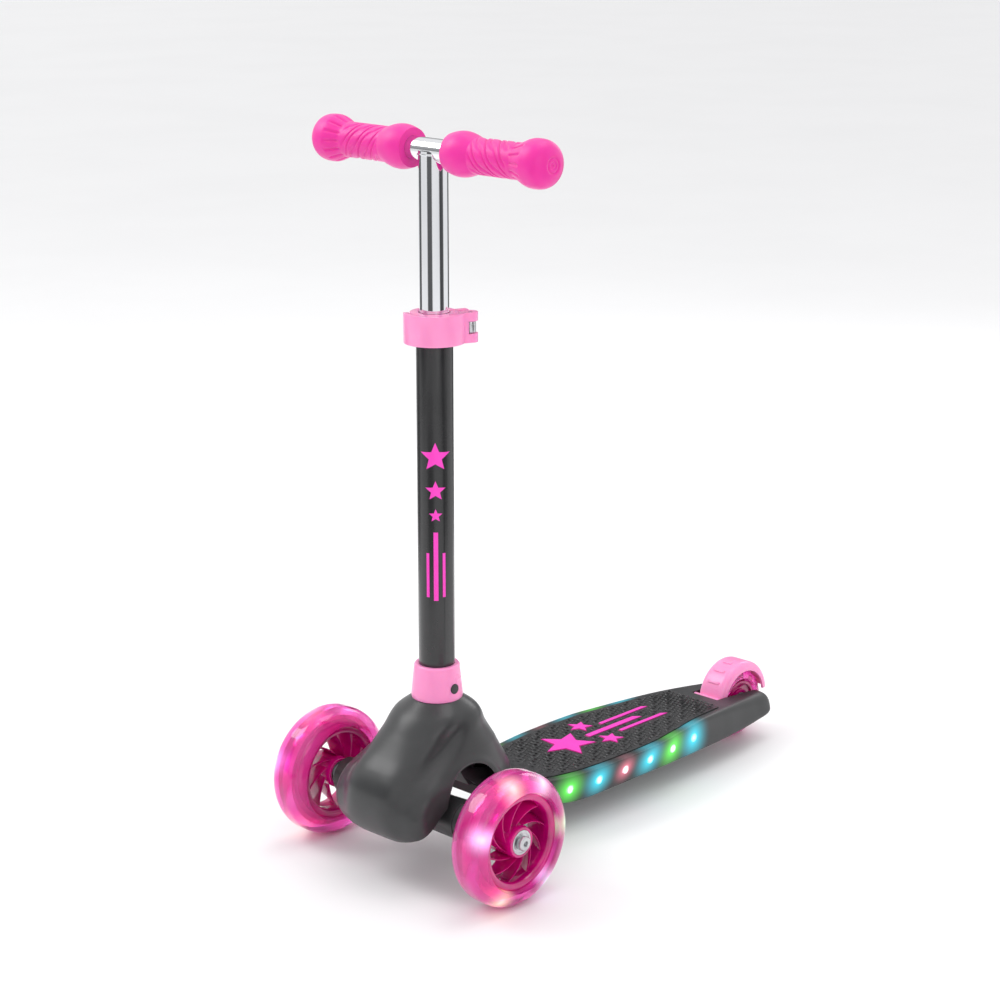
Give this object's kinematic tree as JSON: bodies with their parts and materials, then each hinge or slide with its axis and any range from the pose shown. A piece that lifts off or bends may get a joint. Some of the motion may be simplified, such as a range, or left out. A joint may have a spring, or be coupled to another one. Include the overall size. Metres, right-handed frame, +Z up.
{
  "type": "kick scooter",
  "caption": "Child's lean-to-steer kick scooter with paired light-up front wheels, a domed head, a low deck, a telescoping T handlebar and a mudguard brake over the rear wheel.",
  "frame": {"origin": "on the ground, at the bottom centre of the scooter's bounding box", "axes": "+X forward, +Y to the rider's left, +Z up"},
  "size_m": [0.5493, 0.274, 0.6575],
  "materials": {
    "deck_plastic": "satin moulded, fine texture",
    "black_plastic": "matte moulded",
    "pad_rubber": "matte with raised chips",
    "pink_print": "gloss inlay",
    "pink_grip": "soft-touch rubber",
    "pale_pink": "satin moulded",
    "chrome": "polished chrome plate",
    "black_tube": "satin powder coat",
    "tyre_pu": "clear tinted polyurethane",
    "rim_pink": "gloss tinted",
    "steel": "zinc plated",
    "lens": "clear",
    "board": "solder mask",
    "battery": "printed sleeve",
    "elastomer": "matte",
    "magnet": "ferrite"
  },
  "bodies": {
    "chassis": {"deck_shell": "deck_plastic", "deck_base": "black_plastic", "base_screws": "steel", "grip_pad": "pad_rubber", "deck_emblem": "pink_print", "left_light_board": "board", "right_light_board": "board", "left_light_lenses": "lens", "right_light_lenses": "lens", "battery_box": "black_plastic", "batteries": "battery", "battery_cover": "black_plastic", "head_cover": "deck_plastic", "head_frame": "black_plastic", "head_screws": "steel", "kingpin": "steel", "kingpin_nut": "steel", "steer_bushes": "elastomer", "lower_collar": "pale_pink", "column_tube": "black_tube", "column_bush": "black_plastic", "column_graphic": "pink_print", "button_spring": "steel", "clamp_collar": "pale_pink", "clamp_bolt": "steel", "clamp_nut": "steel", "lever_pin": "steel", "rear_axle": "steel", "rear_axle_blocks": "black_plastic", "block_screws": "steel", "brake_pin": "steel", "brake_spring": "steel"},
    "button": {"release_button": "black_plastic"},
    "lever": {"clamp_lever": "pale_pink"},
    "handlebar": {"inner_stem": "chrome", "cross_bar": "chrome", "stem_plug": "black_plastic", "left_grip": "pink_grip", "right_grip": "pink_grip"},
    "truck": {"axle_yoke": "deck_plastic", "axle_sleeve": "steel", "left_axle_bolt": "steel", "right_axle_bolt": "steel", "left_magnet_ring": "magnet", "right_magnet_ring": "magnet"},
    "left_wheel": {"left_tyre": "tyre_pu", "left_rim": "rim_pink", "left_bearings": "steel", "left_light_ring": "board"},
    "right_wheel": {"right_tyre": "tyre_pu", "right_rim": "rim_pink", "right_bearings": "steel", "right_light_ring": "board"},
    "rear_wheel": {"rear_tyre": "tyre_pu", "rear_rim": "rim_pink", "rear_bearings": "steel"},
    "brake": {"brake_fender": "pale_pink"}
  },
  "joints": [
    {"name": "truck_steer", "type": "hinge", "parent": "chassis", "child": "truck", "pos_m": [0.2143, 0, 0.06], "axis": [0.5, 0, 0.866], "range_deg": [-14, 14], "stiffness_Nm_per_rad": 12},
    {"name": "left_wheel_spin", "type": "hinge", "parent": "truck", "child": "left_wheel", "pos_m": [0.2143, 0.1145, 0.06], "axis": [0, 1, 0], "continuous": true},
    {"name": "right_wheel_spin", "type": "hinge", "parent": "truck", "child": "right_wheel", "pos_m": [0.2143, -0.1145, 0.06], "axis": [0, 1, 0], "continuous": true},
    {"name": "rear_wheel_spin", "type": "hinge", "parent": "chassis", "child": "rear_wheel", "pos_m": [-0.2357, 0, 0.035], "axis": [0, 1, 0], "continuous": true},
    {"name": "brake_press", "type": "hinge", "parent": "chassis", "child": "brake", "pos_m": [-0.1947, 0, 0.046], "axis": [0, -1, 0], "range_deg": [0, 2.4], "stiffness_Nm_per_rad": 0.4, "springref_deg": -20.05},
    {"name": "handlebar_height", "type": "slide", "parent": "chassis", "child": "handlebar", "axis": [0, 0, 1], "range_m": [-0.11, 0]},
    {"name": "clamp_lever_open", "type": "hinge", "parent": "chassis", "child": "lever", "pos_m": [0.16516, 0.02104, 0.487], "axis": [0, 0, 1], "range_deg": [0, 105]},
    {"name": "button_press", "type": "slide", "parent": "chassis", "child": "button", "axis": [0, -1, 0], "range_m": [0, 0.0035], "stiffness_N_per_m": 120, "springref_m": -0.01, "deforming": ["button_spring"]}
  ]
}
